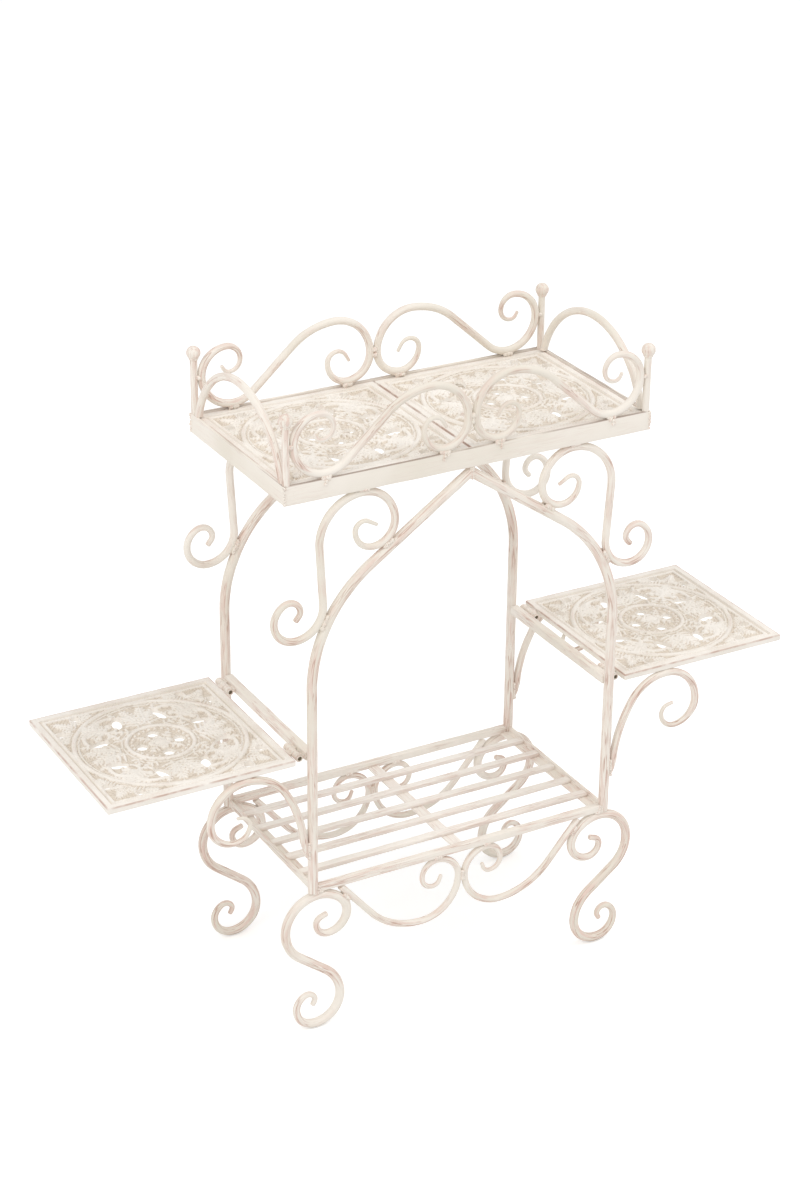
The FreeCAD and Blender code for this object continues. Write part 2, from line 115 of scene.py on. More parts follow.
def forge_rod(name, radius, start, heading, steps, start_taper=0.0, end_taper=0.0, tips=drawn_tips):
    """Bend a round bar ring by ring in the upright plane y = 0, along arcs (radius, degrees) and
    runs (0, length). A taper draws that length of an end out to a rounded tip, a share of the bar."""
    start_tip, end_tip = tips
    lengths = [amount if bend == 0 else radians(abs(amount)) * bend for bend, amount in steps]
    total = sum(lengths)

    def thickness(along):
        share = 1.0
        if start_taper:
            share = min(share, start_tip + (1 - start_tip) * along / start_taper)
        if end_taper:
            share = min(share, end_tip + (1 - end_tip) * (total - along) / end_taper)
        return share

    here = Vector((start[0], 0, start[1]))
    angle = radians(heading)
    bpy.ops.mesh.primitive_circle_add(
        vertices=rod_sides, radius=radius * thickness(0), location=here,
        rotation=(0, quarter_turn - angle, 0))
    rod = bpy.context.object
    rod.name = name
    bpy.ops.object.transform_apply()
    open_all(rod)
    rings = [(*here, angle, 0.0)]
    along = 0.0
    for (bend, amount), length in zip(steps, lengths):
        count = max(2, ceil(length / ring_spacing), ceil(abs(amount) / ring_turn) if bend else 0)
        left = copysign(1, amount)
        centre = here + left * bend * Vector((-sin(angle), 0, cos(angle)))
        for _ in range(count):
            if bend == 0:
                step = length / count * Vector((cos(angle), 0, sin(angle)))
                bpy.ops.mesh.extrude_region_move(TRANSFORM_OT_translate={"value": step})
                here = here + step
            else:
                turn = radians(amount) / count
                bpy.ops.mesh.spin(steps=1, angle=turn, center=centre, axis=(0, 1, 0))
                angle += turn
                here = centre + left * bend * Vector((sin(angle), 0, -cos(angle)))
            thinner = thickness(along + length / count) / thickness(along)
            along += length / count
            if not isclose(thinner, 1):
                bpy.ops.transform.resize(value=(thinner, thinner, thinner), center_override=here)
            rings.append((*here, angle, along))
    bpy.ops.mesh.edge_face_add()
    if end_taper:
        bpy.ops.mesh.bevel(offset=tip_rounding * radius * end_tip, segments=rounding_steps, affect="EDGES")
    pick(rod, "vertices", lambda point: point.index < rod_sides)
    bpy.ops.mesh.edge_face_add()
    if start_taper:
        bpy.ops.mesh.bevel(offset=tip_rounding * radius * start_tip, segments=rounding_steps, affect="EDGES")
    close_mesh()
    note_bar_places(rod, np.array(rings))
    return rod


def points_of(piece):
    """The places of a piece's vertices."""
    places = np.empty(len(piece.data.vertices) * 3, dtype=np.float32)
    piece.data.vertices.foreach_get("co", places)
    return places.reshape(-1, 3)


def note_bar_places(rod, rings):
    """Store where each point of a bent bar would lie on the straight bar, for the brush marks."""
    places = points_of(rod)
    apart = ((places[:, None, :] - rings[None, :, :3]) ** 2).sum(2)
    nearest = rings[apart.argmin(1)]
    offset = places - nearest[:, :3]
    turned = nearest[:, 3]
    across = offset[:, 2] * np.cos(turned) - offset[:, 0] * np.sin(turned)
    ahead = offset[:, 0] * np.cos(turned) + offset[:, 2] * np.sin(turned)
    note_places(rod, np.stack([across, offset[:, 1], nearest[:, 4] + ahead], 1))


def note_places(piece, values):
    """Write the bar attribute of a piece: two places across the bar and one along it."""
    bar = piece.data.attributes.new("bar", "FLOAT_VECTOR", "POINT")
    bar.data.foreach_set("vector", values.astype(np.float32).ravel())


def wind_back(crest, heading, steps):
    """The tip of steps that leave a crest, the heading back from it, and the steps back."""
    u, w = crest
    angle = radians(heading)
    for bend, amount in steps:
        if bend == 0:
            u += amount * cos(angle)
            w += amount * sin(angle)
        else:
            reach = copysign(bend, amount)
            turned = angle + radians(amount)
            u += reach * (sin(turned) - sin(angle))
            w += reach * (cos(angle) - cos(turned))
            angle = turned
    back = [(bend, amount if bend == 0 else -amount) for bend, amount in reversed(steps)]
    return (u, w), degrees(angle) + 180, back


def tone(red, green, blue):
    """A shade as the eye sees it, 0 to 255, as the linear colour that a shader takes."""
    return (*[((value / 255 + 0.055) / 1.055) ** 2.4 for value in (red, green, blue)], 1.0)


def plug(socket, value):
    """Link a value to a shader socket, or set it there."""
    if isinstance(value, bpy.types.NodeSocket):
        socket.id_data.links.new(value, socket)
    else:
        socket.default_value = value


def wire(node, **values):
    """Plug values into a shader node's sockets by name."""
    for key, value in values.items():
        plug(node.inputs[key.replace("_", " ")], value)


def add_node(tree, kind, settings=(), **values):
    """Add a shader node with settings and with values or links on its sockets."""
    made = tree.nodes.new("ShaderNode" + kind)
    for key, value in settings:
        setattr(made, key, value)
    wire(made, **values)
    return made.outputs


def noise(vector, scale, detail=2.0):
    """Cloudy noise on a vector."""
    return add_node(vector.id_data, "TexNoise", Vector=vector, Scale=scale, Detail=detail)[0]


def fade(value, low, high, end=1.0):
    """A soft step of a value from 0 at low to an end value at high."""
    soft = [("interpolation_type", "SMOOTHSTEP")]
    return add_node(value.id_data, "MapRange", soft, Value=value, From_Min=low, From_Max=high, To_Max=end)[0]


def combine(operation, first, second=0.0):
    """A linked value put together with another by a sum, a product or the like."""
    made = first.id_data.nodes.new("ShaderNodeMath")
    made.operation = operation
    plug(made.inputs[0], first)
    plug(made.inputs[1], second)
    return made.outputs[0]


def tint(share, base, over):
    """One colour laid over another by a share."""
    return add_node(share.id_data, "MixRGB", Fac=share, Color1=base, Color2=over)[0]


def new_paint(name):
    """A new material, its node tree and its shader."""
    paint = bpy.data.materials.new(name)
    paint.use_nodes = True
    return paint, paint.node_tree, paint.node_tree.nodes["Principled BSDF"]


cream = tone(236, 229, 219)
pale_cream = tone(242, 236, 228)
shaded_cream = tone(217, 209, 193)
pink_wash = tone(222, 200, 188)
rubbed_brown = tone(184, 148, 131)
bare_speck = tone(112, 90, 76)
edge_wear_and_shade = tone(136, 112, 98)
brush_stretch = (1, 1, 0.10)
line_stretch = (1, 1, 0.045)
line_shift = (0.3, 0.2, 0.1)
streak_scale = 300
patch_scale = 15
line_scale = 210
cloud_scale = 6
grain_scale = 800
edge_scale = 90
line_level = 0.52
edge_bands = (0.0011, 0.0003)
side_bands = (0.0018, 0.0008)
paint_roughness = 0.64
rubbed_polish = 0.15
paint_shine = 0.35
brush_depth = 0.0005


def antique_paint(name, on_bar=True, wear=1.0, spread=0.0, base=cream, dull=0.6, chips=0.0, edge=None,
                  half_width=None):
    """Matt paint, brushed along a bar, rubbed thin to a pinkish brown in places and along fine lines,
    and specked where it has chipped. The wear is 1 on a rod, the spread widens the worn places, dull is
    how far the base colour darkens in clouds, chips bring more specks, an edge is a height at which a
    top edge is painted dark, partly as wear and partly as painted shade, and a half width is that of a
    flat bar whose long edges are rubbed."""
    paint, tree, skin = new_paint(name)
    place = add_node(tree, "TexCoord")["Object"]
    bar = add_node(tree, "Attribute", [("attribute_name", "bar")])["Vector"] if on_bar else place
    brushed = add_node(tree, "Mapping", Vector=bar, Scale=brush_stretch)[0]
    drawn = add_node(tree, "Mapping", Vector=bar, Scale=line_stretch, Location=line_shift)[0]
    streaks = noise(brushed, streak_scale, 4)
    patches = noise(place, patch_scale, 3)
    worn_place = fade(patches, 0.38 - spread, 0.62 - spread)
    washed = combine("MULTIPLY", fade(streaks, 0.40, 0.66, 0.85 * wear), worn_place)
    from_line = combine("SUBTRACT", noise(drawn, line_scale, 2), line_level)
    line_place = combine("ABSOLUTE", from_line)
    line_strength = 0.7 * wear if on_bar else 0.3 * wear
    lines = combine("MULTIPLY", fade(line_place, 0.028, 0.006, line_strength), worn_place)
    clouds = fade(noise(place, cloud_scale, 3), 0.38, 0.68, dull)
    grain = noise(place, grain_scale, 2)
    speck_place = combine("ADD", grain, combine("MULTIPLY", patches, 0.35))
    specks = fade(speck_place, 0.90 - chips, 0.96 - chips, 0.65 * wear)
    colour = tint(clouds, base, shaded_cream)
    colour = tint(washed, colour, pink_wash)
    colour = tint(lines, colour, rubbed_brown)
    colour = tint(specks, colour, bare_speck)
    # A band along the top edge is painted dark brown, partly as wear and partly as painted shade along the
    # edge.
    if edge is not None:
        above = add_node(tree, "SeparateXYZ", Vector=place)["Z"]
        at_edge = fade(above, edge - edge_bands[0], edge - edge_bands[1], 0.75)
        patchy = fade(noise(brushed, edge_scale, 3), 0.40, 0.60)
        colour = tint(combine("MULTIPLY", at_edge, patchy), colour, edge_wear_and_shade)
    if half_width is not None:
        across = add_node(tree, "Attribute", [("attribute_name", "across")])["Fac"]
        from_middle = combine("ABSOLUTE", across)
        at_side = fade(from_middle, half_width - side_bands[0], half_width - side_bands[1], 0.25)
        patchy = fade(noise(brushed, edge_scale, 3), 0.32, 0.58)
        colour = tint(combine("MULTIPLY", at_side, patchy), colour, rubbed_brown)
    marks = combine("ADD", streaks, combine("MULTIPLY", grain, 0.6))
    bumps = add_node(tree, "Bump", Height=marks, Strength=0.35, Distance=brush_depth)[0]
    roughness = combine("ADD", combine("MULTIPLY", washed, -rubbed_polish), paint_roughness)
    wire(skin, Base_Color=colour, Roughness=roughness, Specular_IOR_Level=paint_shine, Normal=bumps)
    return paint


bar_paint = antique_paint("rubbed_cream_bar")
leg_paint = antique_paint("rubbed_cream_leg", spread=0.08)
hammer_marks = bpy.data.textures.new("hammer_marks", "CLOUDS")
hammer_marks.noise_scale = 0.018
hammer_depth = 0.0005
smooth_angle = radians(40)


def hammer(piece, texture, depth):
    """Press shallow uneven marks into a piece."""
    work(piece, "DISPLACE", texture=texture, texture_coords="LOCAL", strength=depth)


def dress(piece, paint, *nodes, slot="cream_ironwork", body="frame"):
    """Smooth and paint a finished piece, let it ride on a body and stand for its nodes."""
    alone(piece)
    bpy.ops.object.shade_smooth_by_angle(angle=smooth_angle)
    piece.data.materials.clear()
    piece.data.materials.append(paint)
    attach(piece, body)
    if nodes:
        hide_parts(*nodes)


def set_copy(pattern, name, matrix):
    """A copy of a pattern with its own mesh, moved, turned or mirrored to its place."""
    piece = pattern.copy()
    piece.data = pattern.data.copy()
    piece.name = name
    bpy.context.collection.objects.link(piece)
    piece.data.transform(matrix)
    if matrix.determinant() < 0:
        open_all(piece)
        close_mesh()
    return piece


def set_in_corners(pattern, kind, depth, paint=bar_paint):
    """Set a right-hand rod and its mirror image in the planes of the front and the rear frame."""
    for row, back in rows.items():
        for side_name, side in sides.items():
            corner = f"{row}_{side_name}_{kind}"
            place = Matrix.Translation((0, back * depth, 0)) @ Matrix.Diagonal((side, 1, 1, 1))
            piece = set_copy(pattern, f"{corner}_rod", place)
            hammer(piece, hammer_marks, hammer_depth)
            dress(piece, paint, corner)
    bpy.data.objects.remove(pattern)


leg_low, leg_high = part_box("rear_right_leg")
rim_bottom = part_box("front_rim_bar")[0].z
leg_rod = leg_high.y - leg_low.y
frame_depth = (leg_low.y + leg_high.y) / 2
leg_x = leg_high.x - leg_rod / 2
shelf_bottom = leg_low.z
arch_radius = 0.185
arch_slope = 34.5
slope = radians(arch_slope)
apex_z = rim_bottom - weld_gap - leg_rod / 2 / cos(slope)
arch_x = leg_x - arch_radius
arch_z = apex_z - (arch_radius + arch_x * sin(slope)) / cos(slope)
arch_run = (arch_x + arch_radius * sin(slope)) / cos(slope) + leg_rod
leg_steps = [(0, arch_z - shelf_bottom), (arch_radius, 90 - arch_slope), (0, arch_run)]
leg = forge_rod("leg", leg_rod / 2, (leg_x, shelf_bottom), 90, leg_steps)
saw_off(leg, (weld_gap / 2, 0, 0), (-1, 0, 0))
set_in_corners(leg, "leg", frame_depth, leg_paint)

# Shelf: square bars along the front and rear, angle bars at the ends, five flat slats on the
# angles' flanges and a strap under them. Rolled steel, welded between the legs, and painted alike,
# the slats and strap in a paler cream that is partly painted light against the shade under the tray.
bar_edge = 0.0011
bar_cuts = 24
facing = 0.9
bar_marks = bpy.data.textures.new("bar_marks", "CLOUDS")
bar_marks.noise_scale = 0.035
bar_depth = 0.0009


def finish_bar(piece, axis, edge):
    """Round a bar's edges, make it slightly uneven and note the direction that it runs in."""
    work(piece, "BEVEL", width=edge, segments=rounding_steps)
    hammer(piece, bar_marks, bar_depth)
    places = points_of(piece)
    across = [other for other in range(3) if other != axis]
    note_places(piece, places[:, [*across, axis]])


def divide_lengthwise(piece, axis):
    """Cut a bar's long edges into short ones, so that it can be uneven."""
    def runs_along(edge):
        first, second = [piece.data.vertices[index].co for index in edge.vertices]
        return abs((second - first).normalized()[axis]) > facing

    pick(piece, "edges", runs_along)
    bpy.ops.mesh.subdivide(number_cuts=bar_cuts)
    bpy.ops.object.mode_set(mode="OBJECT")


def block(name, low, high):
    """A square-edged block between two corners."""
    bpy.ops.mesh.primitive_cube_add(size=1, location=(low + high) / 2, scale=high - low)
    bpy.context.object.name = name
    bpy.ops.object.transform_apply()
    return bpy.context.object


def flat_bar(node, axis, edge, paint):
    """A painted bar with rounded edges in the place of a node."""
    low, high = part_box(node)
    bar = block(f"{node}_bar", low, high)
    divide_lengthwise(bar, axis)
    finish_bar(bar, axis, edge)
    across = bar.data.attributes.new("across", "FLOAT", "POINT")
    across.data.foreach_set("value", points_of(bar)[:, 1 - axis] - (low + high)[1 - axis] / 2)
    dress(bar, paint, node)


def angle_bar(name, low, high, wall, flange):
    """An angle bar along X: an upright wall whose lower part is drawn out to a flange towards +Y."""
    bar = block(name, low, high)
    open_all(bar)
    bpy.ops.mesh.bisect(plane_co=(0, 0, low.z + wall), plane_no=(0, 0, 1))
    pick(bar, "polygons", lambda face: face.normal.y > facing and face.center.z < low.z + wall)
    bpy.ops.mesh.extrude_region_move(TRANSFORM_OT_translate={"value": (0, flange, 0)})
    bpy.ops.object.mode_set(mode="OBJECT")
    divide_lengthwise(bar, 0)
    return bar


for row in rows:
    flat_bar(f"{row}_shelf_rail", 0, bar_edge, bar_paint)
slat_nodes = sorted(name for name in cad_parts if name.startswith("shelf_slat_"))
slat_low, slat_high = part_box(slat_nodes[0])
# Paler, less clouded cream for the slats and strap: less worn, and partly painted light that lifts the shade
# under the tray.
slat_wear = 0.5
slat_dull = 0.15
slat_paint = antique_paint("rubbed_cream_slat", wear=slat_wear, base=pale_cream, dull=slat_dull,
                           half_width=(slat_high.y - slat_low.y) / 2)
for node in slat_nodes:
    flat_bar(node, 0, bar_edge, slat_paint)
strap_paint = antique_paint("rubbed_cream_strap", wear=slat_wear, base=pale_cream, dull=slat_dull)
flat_bar("shelf_strap", 1, bar_edge / 2, strap_paint)
angle_wall = 0.003
angle_low, angle_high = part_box("right_shelf_angle")
wall_low = Vector((angle_low.y, -angle_high.x, angle_low.z))
wall_high = Vector((angle_high.y, -angle_high.x + angle_wall, angle_high.z))
angle_flange = angle_high.x - angle_low.x - angle_wall
shelf_angle = angle_bar("shelf_angle", wall_low, wall_high, angle_wall, angle_flange)
for side_name, side in sides.items():
    bar = set_copy(shelf_angle, f"{side_name}_shelf_angle_bar", Matrix.Rotation(side * quarter_turn, 4, "Z"))
    finish_bar(bar, 1, bar_edge / 2)
    dress(bar, bar_paint, f"{side_name}_shelf_angle")
bpy.data.objects.remove(shelf_angle)

# Feet: an S-scroll of round bar under each shelf corner. The upper end curls in under the shelf
# and the toe curls outwards on the floor. Both ends are drawn out thin before they are curled.
foot_low, foot_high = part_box("rear_right_foot")
foot_rod = foot_high.y - foot_low.y
foot_inset = 0.0065
foot_loop = 0.046
foot_turn = 50
foot_curl = ((0.027, 130), (0.017, 90), (0.010, 70))
foot_tip = 0.010
foot_waist = 0.038
foot_sway = 52
toe_loop = 0.036
toe_curl = ((0.027, 90), (0.021, 60), (0.011, 90), (0.008, 60))
toe_tip = 0.006
foot_tips = (0.6, 0.55)
scroll_taper = 0.10
scroll_paint = antique_paint("rubbed_cream_scroll", wear=1.2, spread=0.06)
foot_crest = (leg_x - foot_inset, shelf_bottom - weld_gap - foot_rod / 2)
foot_drop = foot_crest[1] - foot_loop - toe_loop - foot_rod / 2
foot_shift = foot_waist - foot_inset + foot_loop
foot_lean = radians(foot_sway)
sway_radius = ((foot_drop * sin(foot_lean) - foot_shift * cos(foot_lean))
               / (2 - 2 * cos(foot_lean)))
sway_run = (foot_drop - 2 * sway_radius * sin(foot_lean)) / cos(foot_lean)
inward = [(foot_loop, foot_turn), *foot_curl, (0, foot_tip)]
tip, heading, steps = wind_back(foot_crest, 180, inward)
steps += [(foot_loop, -90), (sway_radius, -foot_sway), (0, sway_run), (sway_radius, foot_sway)]
steps += [(toe_loop, 90), *toe_curl, (0, toe_tip)]
foot = forge_rod("foot", foot_rod / 2, tip, heading, steps, scroll_taper, scroll_taper, foot_tips)
set_in_corners(foot, "foot", frame_depth, scroll_paint)

# Aprons: a C-scroll of round bar on each side under the front and rear of the shelf. Each is welded
# to its twin in the middle, swings out in a belly and rises along the loop of the foot to the shelf.
apron_low, apron_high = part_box("rear_right_apron")
apron_rod = apron_high.y - apron_low.y
apron_loop = 0.032
apron_curl = ((0.022, -90), (0.016, -90), (0.010, -70))
apron_tip = 0.008
apron_tips = (0.6, 1)
apron_belly = 0.054
apron_slope = 50
rise = radians(apron_slope)
apron_inmost = (apron_rod / 2 + weld_gap / 2, shelf_bottom - weld_gap - apron_rod / 2 - apron_loop)
apron_clear = foot_loop + foot_rod / 2 + apron_rod / 2 + weld_gap
apron_lowest = (apron_inmost[0] + apron_belly, apron_inmost[1] - apron_belly)
beside_foot = (foot_crest[0] - sin(rise) * apron_clear,
               foot_crest[1] - foot_loop + cos(rise) * apron_clear)
apron_offset = (cos(rise) * (apron_lowest[1] - beside_foot[1])
                - sin(rise) * (apron_lowest[0] - beside_foot[0]))
apron_bend = apron_offset / (1 - cos(rise))
apron_end = shelf_bottom - weld_gap - apron_rod / 2 * cos(rise)
apron_run = (apron_end - apron_lowest[1] - apron_offset) / sin(rise)
inward = [(apron_loop, -90), *apron_curl, (0, apron_tip)]
tip, heading, steps = wind_back(apron_inmost, 90, inward)
steps += [(apron_belly, 90), (apron_bend, apron_slope), (0, apron_run)]
apron = forge_rod("apron", apron_rod / 2, tip, heading, steps, scroll_taper, 0, apron_tips)
set_in_corners(apron, "apron", frame_depth, scroll_paint)

# Spandrels: an S-scroll of round bar between each arch and the tray. It hangs from the rim at its
# crest and is welded to the arch at its inner loop and at its low loop.
spandrel_low, spandrel_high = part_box("rear_right_spandrel")
scroll_rod = spandrel_high.y - spandrel_low.y
spandrel_loop = 0.044
spandrel_inner = 0.030
spandrel_curl = ((0.024, 90), (0.012, 120))
spandrel_swing = 0.058
spandrel_low_loop = 0.038
spandrel_drop = 0.144
spandrel_low_curl = ((0.028, 90), (0.026, 60), (0.015, 110), (0.010, 50))
spandrel_tip = 0.014
spandrel_low_tip = 0.008
spandrel_tips = (0.45, 0.72)


def s_curve(first, first_radius, second, second_radius):
    """A right arc, a run and an equal left arc, from the top of one circle to the bottom of the next."""
    du = second[0] - first[0]
    dw = second[1] - first[1]
    reach = first_radius + second_radius
    run = sqrt(du ** 2 + dw ** 2 - reach ** 2)
    turn = degrees(atan2(reach, run) - atan2(dw, du))
    return [(first_radius, -turn), (0, run), (second_radius, turn)]


spandrel_height = rim_bottom - weld_gap - scroll_rod / 2
arch_clear = leg_rod / 2 + scroll_rod / 2 + weld_gap
above_arch = spandrel_inner + arch_clear - cos(slope) * (spandrel_height - spandrel_loop - apex_z)
spandrel_crest = (above_arch / sin(slope) + spandrel_loop - spandrel_inner, spandrel_height)
low_height = rim_bottom - spandrel_drop
from_arch = arch_radius + arch_clear + spandrel_low_loop
low_centre = (arch_x + sqrt(from_arch ** 2 - (low_height - arch_z) ** 2), low_height)
swing_centre = (spandrel_crest[0], spandrel_height - spandrel_swing)
inward = [(spandrel_loop, 90), (spandrel_inner, 90), *spandrel_curl, (0, spandrel_tip)]
tip, heading, steps = wind_back(spandrel_crest, 180, inward)
steps += s_curve(swing_centre, spandrel_swing, low_centre, spandrel_low_loop)
steps += [*spandrel_low_curl, (0, spandrel_low_tip)]
spandrel = forge_rod("spandrel", scroll_rod / 2, tip, heading, steps, scroll_taper, scroll_taper,
                     spandrel_tips)
set_in_corners(spandrel, "spandrel", frame_depth)

# Tray rim: four angle bars with mitred ends that hold the castings. They are welded at the
# corners, and the bars that carry the castings stay hidden inside.
rim_low, rim_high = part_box("front_rim_bar")
tray_x = rim_high.x
tray_y = -rim_low.y
tray_top = rim_high.z
rim_wall = 0.0035
rim_flange = rim_high.y - rim_low.y
rim_wear = 0.16
# The rim's top edge is painted with a dark line, partly wear and partly painted shade.
rim_paint = antique_paint("rubbed_cream_rim", wear=rim_wear, edge=tray_top)


def rim_bar(node, half_length, half_depth, turn):
    """One bar of the rim with mitred ends, made along the front and turned to its side."""
    low = Vector((-half_length, -half_depth, rim_bottom))
    high = Vector((half_length, rim_wall - half_depth, tray_top))
    bar = angle_bar(f"{node}_angle", low, high, rim_wall, rim_flange - rim_wall)
    for side in sides.values():
        saw_off(bar, (side * half_length, -half_depth, 0), (side, 1, 0))
    bar.data.transform(Matrix.Rotation(turn, 4, "Z"))
    finish_bar(bar, 0 if abs(cos(turn)) > facing else 1, bar_edge / 2)
    dress(bar, rim_paint, node)


def paint_node(node, paint):
    """Give a solid that shows as it is its painted finish."""
    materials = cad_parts[node].data.materials
    materials.clear()
    materials.append(paint)


rim_bar("front_rim_bar", tray_x, tray_y, 0)
rim_bar("rear_rim_bar", tray_x, tray_y, 2 * quarter_turn)
rim_bar("left_rim_bar", tray_y, tray_x, -quarter_turn)
rim_bar("right_rim_bar", tray_y, tray_x, quarter_turn)
plain_paint = antique_paint("rubbed_cream_small", on_bar=False)
for node in ("panel_bearers", "tray_cross_bar"):
    paint_node(node, plain_paint)

# Castings: four square iron panels, two in the tray and one on each leaf. Each is sand-cast in one
# piece with a ribbed border, a ring, a medallion, curled leaves and small openings between them.
# The hollows are painted darker, with a dull wash and with painted shade, and the paint is rubbed on the
# relief.
panel_low, panel_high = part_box("right_leaf_panel")
panel_side = panel_high.x - panel_low.x
panel_thickness = panel_high.z - panel_low.z
panel_play = 0.0004
panel_web = 0.004
strip_width = 0.009
groove_width = 0.0028
groove_depth = 0.0034
rib_width = 0.0042
rib_drop = 0.0014


def sink(inset, step):
    """Inset the selected face and move it up or down by a step."""
    bpy.ops.mesh.inset(thickness=inset)
    bpy.ops.mesh.extrude_region_move(TRANSFORM_OT_translate={"value": step})


casting_side = panel_side - 2 * panel_play
casting_corner = Vector((casting_side / 2, casting_side / 2, 0))
casting = block("casting", -casting_corner, casting_corner + Vector((0, 0, panel_thickness)))
pick(casting, "polygons", lambda face: face.normal.z > facing)
sink(strip_width, (0, 0, -groove_depth))
sink(groove_width, (0, 0, groove_depth - rib_drop))
sink(rib_width, (0, 0, rib_drop + panel_web - panel_thickness))
bpy.ops.object.mode_set(mode="OBJECT")

# Openings of the casting: four eyes in the medallion, eight ovals round it and two in each corner.
# The walls have a little draft, so an opening is wider at the top.
eye_radius = 0.007
eye_ring = 0.025
loop_length = 0.028
loop_width = 0.013
loop_ring = 0.0755
loop_lean = radians(40)
corner_eye_radius = 0.006
corner_eye_ring = 0.125
corner_eye_spread = radians(10)
cutter_height = 0.03
cutter_sides = 28
draft = 0.2
openings = [(eye_ring, quarter_turn * index, 0, eye_radius, eye_radius) for index in range(4)]
for index in range(8):
    hand = 1 if index % 2 else -1
    loop_angle = quarter_turn / 2 * (index + 0.5)
    openings.append((loop_ring, loop_angle, hand * loop_lean, loop_length / 2, loop_width / 2))
    corner_angle = quarter_turn * (index // 2 + 0.5) + hand * corner_eye_spread
    openings.append((corner_eye_ring, corner_angle, 0, corner_eye_radius, corner_eye_radius))
cutters = []
for ring, angle, lean, long_half, short_half in openings:
    centre = (ring * cos(angle), ring * sin(angle), 0)
    bpy.ops.mesh.primitive_cone_add(
        vertices=cutter_sides, radius1=1 - draft, radius2=1 + draft, depth=cutter_height, location=centre,
        rotation=(0, 0, angle + lean), scale=(long_half, short_half, 1))
    cutters.append(bpy.context.object)


def join(pieces):
    """Join pieces into the first one."""
    alone(pieces[0])
    for piece in pieces[1:]:
        piece.select_set(True)
    bpy.ops.object.join()
    bpy.ops.object.transform_apply()
    return pieces[0]


cutter = join(cutters)

# Relief of the casting: rings, a boss with a ring of pearls round it, lobed leaves, scrolls with a
# curled end and a row of beads on the border. It is cast in one piece with the web under it.
cast_rings = ((0.107, 0.0030, 0.0048), (0.1012, 0.0013, 0.0046), (0.042, 0.0026, 0.0052),
              (0.0475, 0.0012, 0.0044))
cast_ring_steps = (96, 12)
boss_radius = 0.0085
boss_flatness = 0.46
pearl_ring = 0.0355
pearl_radius = 0.0021
pearl_lift = 0.0008
pearl_count = 28
lobe_length = 0.44
lobe_shrink = 0.7
lobe_lean = 64
lobe_swing = 30
lobe_overlap = 0.54
midrib_share = 0.6
midrib_lift = 0.15


def lump(place, radius, scale=(1, 1, 1), turned=(0, 0, 0), fineness=3):
    """A rounded lump: a sphere that may be stretched and turned."""
    bpy.ops.mesh.primitive_ico_sphere_add(
        subdivisions=fineness, radius=radius, location=place, rotation=turned, scale=scale)
    return bpy.context.object


def torus(place, ring, thickness, steps, thickness_steps):
    """A level ring of round section."""
    bpy.ops.mesh.primitive_torus_add(
        major_radius=ring, minor_radius=thickness, major_segments=steps, minor_segments=thickness_steps,
        location=place)
    return bpy.context.object


def cast_leaf(pairs, spacing, width):
    """A leaf of unit length along X: a midrib and pairs of rounded lobes that lean forwards."""
    lobes = [lump((0.5, 0, midrib_lift), 1, (lobe_overlap, midrib_share * width, 1))]
    for index in range(pairs):
        length = lobe_length * (1 - lobe_shrink * index / pairs)
        lean = radians(lobe_lean - lobe_swing * index / pairs)
        for angle in (lean, -lean):
            centre = (spacing * index + length / 2 * cos(angle), length / 2 * sin(angle), 0)
            lobes.append(lump(centre, 1, (length * lobe_overlap, width, 1), (0, 0, angle)))
    return join(lobes)


relief = [casting]
for ring, thickness, height in cast_rings:
    relief.append(torus((0, 0, height), ring, thickness, *cast_ring_steps))
relief.append(lump((0, 0, panel_web), boss_radius, (1, 1, boss_flatness), fineness=4))
for index in range(pearl_count):
    angle = 2 * pi * index / pearl_count
    place = (pearl_ring * cos(angle), pearl_ring * sin(angle), panel_web + pearl_lift)
    relief.append(lump(place, pearl_radius, fineness=2))
large_leaf = cast_leaf(pairs=7, spacing=0.122, width=0.038)
small_leaf = cast_leaf(pairs=3, spacing=0.27, width=0.075)
small_leaf_length = 0.026


def lay_leaf(u, v, heading, length, height):
    """Lay a leaf on the web from a place, pointing along a heading in degrees."""
    place = Matrix.Translation((u, v, panel_web))
    shape = Matrix.Rotation(radians(heading), 4, "Z") @ Matrix.Diagonal((length, length, height, 1))
    return set_copy(small_leaf if length < small_leaf_length else large_leaf, "cast_leaf", place @ shape)


bead_radius = 0.0015
bead_count = 50
bead_line = casting_side / 2 - strip_width - groove_width - rib_width / 2
beads = []
for index in range(bead_count):
    along = bead_line * (2 * index / bead_count - 1)
    beads.append(lump((along, -bead_line, panel_thickness - bead_radius), bead_radius, fineness=2))
bead_row = join(beads)
for index in range(4):
    relief.append(set_copy(bead_row, "cast_beads", Matrix.Rotation(quarter_turn * index, 4, "Z")))
bpy.data.objects.remove(bead_row)

